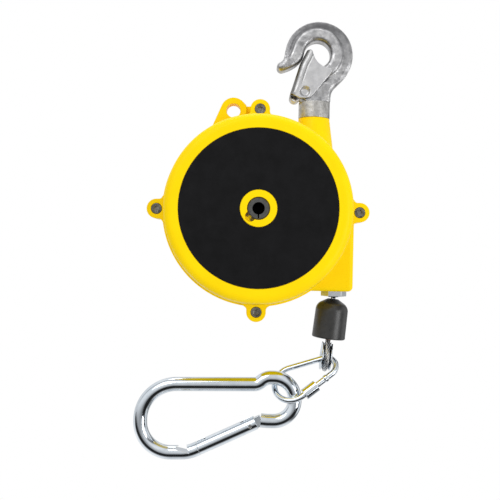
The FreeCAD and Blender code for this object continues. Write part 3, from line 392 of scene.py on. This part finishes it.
for node in nodes.values():
    for face in node.data.polygons:
        face.use_smooth = True
    edge = node.modifiers.new("sharp", "EDGE_SPLIT")
    edge.split_angle = math.radians(SHARP_EDGE)


# ---- hook and latch ----

def smooth(value, low, high):
    """0 below low, 1 above high and an even slope between, eased at both ends; value is an array."""
    share = np.clip((value - low) / (high - low), 0.0, 1.0)
    return share * share * (3 - 2 * share)


def off_segment(x, z, a, b):
    """Distance of each point from the line between two points (x, z)."""
    along = (b[0] - a[0], b[1] - a[1])
    share = ((x - a[0]) * along[0] + (z - a[1]) * along[1]) / (along[0] ** 2 + along[1] ** 2)
    share = np.clip(share, 0.0, 1.0)
    return np.hypot(x - a[0] - along[0] * share, z - a[1] - along[1] * share)


def hollow_depth(x, z):
    """How far the hook's web lies below its faces at these places, in millimetres."""
    away = np.hypot(x - BOWL.x, z - BOWL.z)
    angle = np.degrees(np.arctan2(z - BOWL.z, x - BOWL.x))
    roll = np.abs(away - ROLL_LINE_R) + np.where(angle < ROLL_END, (ROLL_END - angle) * ROLL_NARROWS, 0.0)
    leave = (BOWL.x - ROLL_LINE_R, BOWL.z + ROLL_LEAVES_UP)
    bend = (leave[0] + ROLL_BEND[0], leave[1] + ROLL_BEND[1])
    roll = np.minimum(roll, off_segment(x, z, leave, bend))
    roll = np.minimum(roll, off_segment(x, z, bend, TIP))
    return WEB_DEPTH * smooth(roll, ROLL_HALF, ROLL_HALF + ROLL_SLOPE) * smooth(z, WEB_LOW_Z, WEB_FULL_Z)


def even_copy(name, node, voxel):
    """A copy of a CAD piece on a fine even mesh, and the places of its vertices in millimetres."""
    piece = bpy.data.objects.new(name, nodes[node].data.copy())
    bpy.context.scene.collection.objects.link(piece)
    remesh = piece.modifiers.new("even", "REMESH")
    remesh.mode = "VOXEL"
    remesh.voxel_size = voxel * MM
    mesh = bpy.data.meshes.new_from_object(piece.evaluated_get(bpy.context.evaluated_depsgraph_get()))
    piece.modifiers.clear()
    piece.data = mesh
    places = np.empty(3 * len(mesh.vertices))
    mesh.vertices.foreach_get("co", places)
    return piece, places.reshape(-1, 3) / MM


def shaped(piece, places, attribute, values, material):
    """Give the copy its moved vertices, a number at each of them for its material, and the material."""
    mesh = piece.data
    mesh.vertices.foreach_set("co", (places * MM).ravel())
    mesh.attributes.new(attribute, "FLOAT", "POINT").data.foreach_set("value", values)
    mesh.update()
    mesh.materials.clear()
    mesh.materials.append(material)
    for face in mesh.polygons:
        face.use_smooth = True


def forged_hook():
    """The hook with its sunk web and forging skin."""
    hook, places = even_copy("forged_hook", "hook_body", HOOK_VOXEL)
    x, y, z = places.T
    skin = np.array([noise.fractal(Vector(place) * 0.45, 0.6, 2.0, 4) for place in places])
    free = np.where((z > HOOK_ROOT_Z + 1.0) & (z < HOOK_TOP_Z), 1.0, 0.0)
    flat = smooth(np.abs(y), FLAT_FROM, FLAT_FULL) * free
    depth = hollow_depth(x, z)
    places[:, 1] -= np.sign(y) * (flat * (depth + np.abs(skin) * SKIN_DEPTH))
    # sunk: how deep the web lies, which the hook material also uses to paint shade into the web
    shaped(hook, places, "sunk", flat * depth / WEB_DEPTH, FINISHES["hook_steel"])
    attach(hook, "hook")
    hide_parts("hook_body")


def folded_latch():
    """The latch with the broad bend of its folded edge and the crease beside it."""
    latch, places = even_copy("folded_latch", "hook_latch", LATCH_VOXEL)
    x, y, z = places.T
    low, middle, high = LATCH_EDGE
    inward = np.minimum(off_segment(x, z, low, middle), off_segment(x, z, middle, high))
    left = np.minimum(inward, LATCH_BEND)
    sunk = LATCH_BEND - np.sqrt(LATCH_BEND ** 2 - (LATCH_BEND - left) ** 2)
    share = np.clip((np.abs(y) - FOLD_CORE) / (LATCH_HALF - FOLD_CORE), 0.0, 1.0)
    crease = np.exp(-((inward - CREASE_PLACE) / CREASE_W) ** 2) * smooth(z, *CREASE_Z)
    move = sunk * share * smooth(z, *CURL_Z) + CREASE_DEPTH * crease * smooth(np.abs(y), *OUTER_SKIN)
    places[:, 1] -= np.sign(y) * move
    # The fold and the crease, which the latch material darkens as painted shade
    fold = np.maximum(1.0 - smooth(inward, 1.0, CREASE_PLACE), crease * 0.9)
    shaped(latch, places, "fold", fold, OWN_FINISHES["hook_latch"])
    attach(latch, "latch")
    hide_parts("hook_latch")


forged_hook()
folded_latch()


# ---- wire rope ----

def strands(points, across):
    """Vertices and faces of a rope's strands laid round a flat line of points; across is at right angles to
    that line."""
    strand_r = ROPE_R * STRAND_SHARE
    helix_r = ROPE_R - strand_r
    sides = STRAND_SIDES
    vertices = []
    faces = []
    lengths = [0.0]
    for here, after in zip(points, points[1:]):
        lengths.append(lengths[-1] + (after - here).length)
    for strand in range(STRAND_COUNT + 1):
        reach = helix_r if strand < STRAND_COUNT else 0.0
        first = len(vertices)
        for i, point in enumerate(points):
            ahead = (points[min(i + 1, len(points) - 1)] - points[max(i - 1, 0)]).normalized()
            other = ahead.cross(across)
            angle = 2 * math.pi * (strand / STRAND_COUNT + lengths[i] / ROPE_LAY)
            centre = point + (across * math.cos(angle) + other * math.sin(angle)) * reach
            for k in range(sides):
                a = 2 * math.pi * k / sides
                vertices.append((centre + (across * math.cos(a) + other * math.sin(a)) * strand_r) * MM)
        for i in range(len(points) - 1):
            for k in range(sides):
                a = first + i * sides + k
                b = first + i * sides + (k + 1) % sides
                faces.append((a, b, b + sides, a + sides))
        last = first + (len(points) - 1) * sides
        faces.append(tuple(first + k for k in reversed(range(sides))))
        faces.append(tuple(last + k for k in range(sides)))
    return vertices, faces


def rope_piece(name, parts, body=None):
    """One piece of wire rope from its lists of vertices and faces."""
    mesh = bpy.data.meshes.new(name)
    vertices = []
    faces = []
    for part_vertices, part_faces in parts:
        base = len(vertices)
        vertices += part_vertices
        faces += [tuple(base + i for i in face) for face in part_faces]
    mesh.from_pydata(vertices, [], faces)
    mesh.materials.append(FINISHES["wire_rope"])
    for face in mesh.polygons:
        face.use_smooth = len(face.vertices) == 4
    piece = bpy.data.objects.new(name, mesh)
    bpy.context.scene.collection.objects.link(piece)
    if body:
        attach(piece, body)
    return piece


def stretch_of(a, b, steps):
    return [a.lerp(b, i / steps) for i in range(steps + 1)]


def rope_eye():
    """The cable below the bush and its eye, tilted like the rest of the cable end."""
    tilt = math.radians(CABLE_TILT)
    down = Vector((-math.sin(tilt), 0, -math.cos(tilt)))
    side = Vector((0, 1, 0))
    across = down.cross(side)
    lean = math.radians(EYE_LEAN)

    def point(y, drop):
        return BUSH_MOUTH + side * y + down * drop

    start = point(-LEG_TOP_Y, FERRULE_END)
    touch = point(-EYE_R * math.cos(lean), EYE_DROP - EYE_R * math.sin(lean))
    leg = stretch_of(start, touch, LEG_STEPS)[:-1]
    line = list(leg)
    turn = math.pi + 2 * lean
    for i in range(EYE_STEPS + 1):
        angle = -lean + turn * i / EYE_STEPS
        line.append(point(-EYE_R * math.cos(angle), EYE_DROP + EYE_R * math.sin(angle)))
    line += [Vector((p.x, -p.y, p.z)) for p in reversed(leg)]
    lead = stretch_of(point(0, LEAD_TOP), point(0, LEAD_END), LEAD_STEPS)
    piece = rope_piece("rope_eye", [strands(line, across), strands(lead, across)], "cable_end")
    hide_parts("cable_eye")


def rope_run():
    """The cable from the drum down through the bush."""
    top = Vector((BUSH_MOUTH.x, 0, CABLE_TOP_Z))
    line = stretch_of(top, BUSH_MOUTH, RUN_STEPS)
    piece = rope_piece("rope_run", [strands(line, Vector((1, 0, 0)))])
    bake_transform(piece)
    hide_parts("cable_run")


rope_eye()
rope_run()


# ---- studio, in metres and watts ----

STUDIO_MIDDLE = (-0.05, 0, -0.19)
LAMPS = [
    ("key", (-0.55, -0.85, 0.55), (0.7, 0.7), 3.2),
    ("fill", (0.75, -0.75, -0.35), (0.5, 0.7), 4.0),
    ("top", (0.0, 0.1, 0.75), (0.9, 0.6), 3),
]
FLOOR_HALF = 4.0
FLOOR_PLACE = (-0.05, 0.0, -3.45)    # just below the load when the whole cable is out
FLOOR_GLOW = 0.32                    # so that it is as pale as what lies behind it
CAMERA_PLACE = (-0.0528, -0.656, -0.1801)
CAMERA_ROLL = -1.2                   # degrees
CAMERA_LENS = 54.7
SENSOR_W = 36


def area_light(name, place, size, power):
    light = bpy.data.lights.new(name, "AREA")
    light.shape = "RECTANGLE"
    light.size = size[0]
    light.size_y = size[1]
    light.energy = power
    holder = bpy.data.objects.new(name, light)
    holder.location = place
    holder.rotation_euler = (Vector(STUDIO_MIDDLE) - Vector(place)).to_track_quat("-Z", "Y").to_euler()
    bpy.context.scene.collection.objects.link(holder)


# Brightness of what is reflected, going round from behind, over below, the front (0.5) and above, back to
# behind
RISE_BANDS = [(0.0, 0.8), (0.10, 1.0), (0.26, 1.0), (0.30, 0.6), (0.345, 0.02), (0.435, 0.02), (0.46, 0.45),
              (0.50, 0.8), (0.56, 1.0), (0.66, 1.0), (0.72, 0.5), (0.80, 1.0), (0.93, 0.9), (1.0, 0.8)]
# The same from left to right; the two are multiplied
SIDE_BANDS = [(0.0, 0.85), (0.10, 1.0), (0.36, 1.0), (0.47, 0.8), (0.53, 0.8), (0.62, 1.0), (0.74, 0.85),
              (0.81, 0.22), (0.86, 0.22), (0.92, 0.95), (1.0, 0.9)]
WORLD_LEVEL = 0.77       # of the light that falls on everything


def surroundings(tree):
    """White behind everything, for the camera and in reflections, where the room's dark front shows too."""
    def math_node(operation, *values):
        node = tree.nodes.new("ShaderNodeMath")
        node.operation = operation
        for socket, value in zip(node.inputs, values):
            if isinstance(value, bpy.types.NodeSocket):
                tree.links.new(value, socket)
            else:
                socket.default_value = value
        return node.outputs["Value"]

    def banded(value, bands):
        ramp = tree.nodes.new("ShaderNodeValToRGB")
        points = ramp.color_ramp.elements
        while len(points) < len(bands):
            points.new(0.5)
        for point, (position, level) in zip(points, bands):
            point.position = position
            point.color = (level, level, level, 1)
        tree.links.new(value, ramp.inputs["Fac"])
        return ramp.outputs["Color"]

    split = tree.nodes.new("ShaderNodeSeparateXYZ")
    tree.links.new(tree.nodes.new("ShaderNodeTexCoord").outputs["Generated"], split.inputs["Vector"])
    angle = math_node("ARCTAN2", split.outputs["Z"], math_node("MULTIPLY", split.outputs["Y"], -1.0))
    rise = banded(math_node("MULTIPLY_ADD", angle, 0.5 / math.pi, 0.5), RISE_BANDS)
    side = banded(math_node("MULTIPLY_ADD", split.outputs["X"], 0.5, 0.5), SIDE_BANDS)
    rays = tree.nodes.new("ShaderNodeLightPath").outputs
    reflected = math_node("MAXIMUM", rays["Is Glossy Ray"], rays["Is Transmission Ray"])
    level = math_node("MULTIPLY", math_node("MULTIPLY", rise, side), reflected)
    lit = math_node("MULTIPLY", math_node("SUBTRACT", 1.0, reflected), WORLD_LEVEL)
    seen = math_node("MAXIMUM", math_node("ADD", level, lit), rays["Is Camera Ray"])
    background = tree.nodes["Background"]
    background.inputs["Color"].default_value = (1, 1, 1, 1)
    tree.links.new(seen, background.inputs["Strength"])


def studio():
    for lamp in LAMPS:
        area_light(*lamp)
    world = bpy.data.worlds.new("studio")
    world.use_nodes = True
    bpy.context.scene.world = world
    surroundings(world.node_tree)


def floor():
    """A plain pale floor, which is left out of reflections, where the world's bands stand for the room."""
    mesh = bpy.data.meshes.new("floor")
    grid = bmesh.new()
    bmesh.ops.create_grid(grid, x_segments=1, y_segments=1, size=FLOOR_HALF)
    grid.to_mesh(mesh)
    grid.free()
    plane = bpy.data.objects.new("floor", mesh)
    plane.location = FLOOR_PLACE
    s = Shader("floor")
    color = s.ramp(s.noise(60, 4), 0.3, 0.7, [(0.80, 0.80, 0.80), (0.86, 0.86, 0.86)])
    mesh.materials.append(s.finish(color, 0.0, 0.7, Emission_Strength=FLOOR_GLOW))
    plane.visible_glossy = False
    plane.visible_diffuse = False
    bpy.context.scene.collection.objects.link(plane)


def camera():
    lens = bpy.data.cameras.new("camera")
    lens.lens = CAMERA_LENS
    lens.sensor_width = SENSOR_W
    holder = bpy.data.objects.new("camera", lens)
    holder.location = CAMERA_PLACE
    holder.rotation_euler = (math.radians(90), math.radians(CAMERA_ROLL), 0)
    bpy.context.scene.collection.objects.link(holder)
    bpy.context.scene.camera = holder


studio()
floor()
camera()
bpy.context.scene.view_settings.view_transform = "Standard"
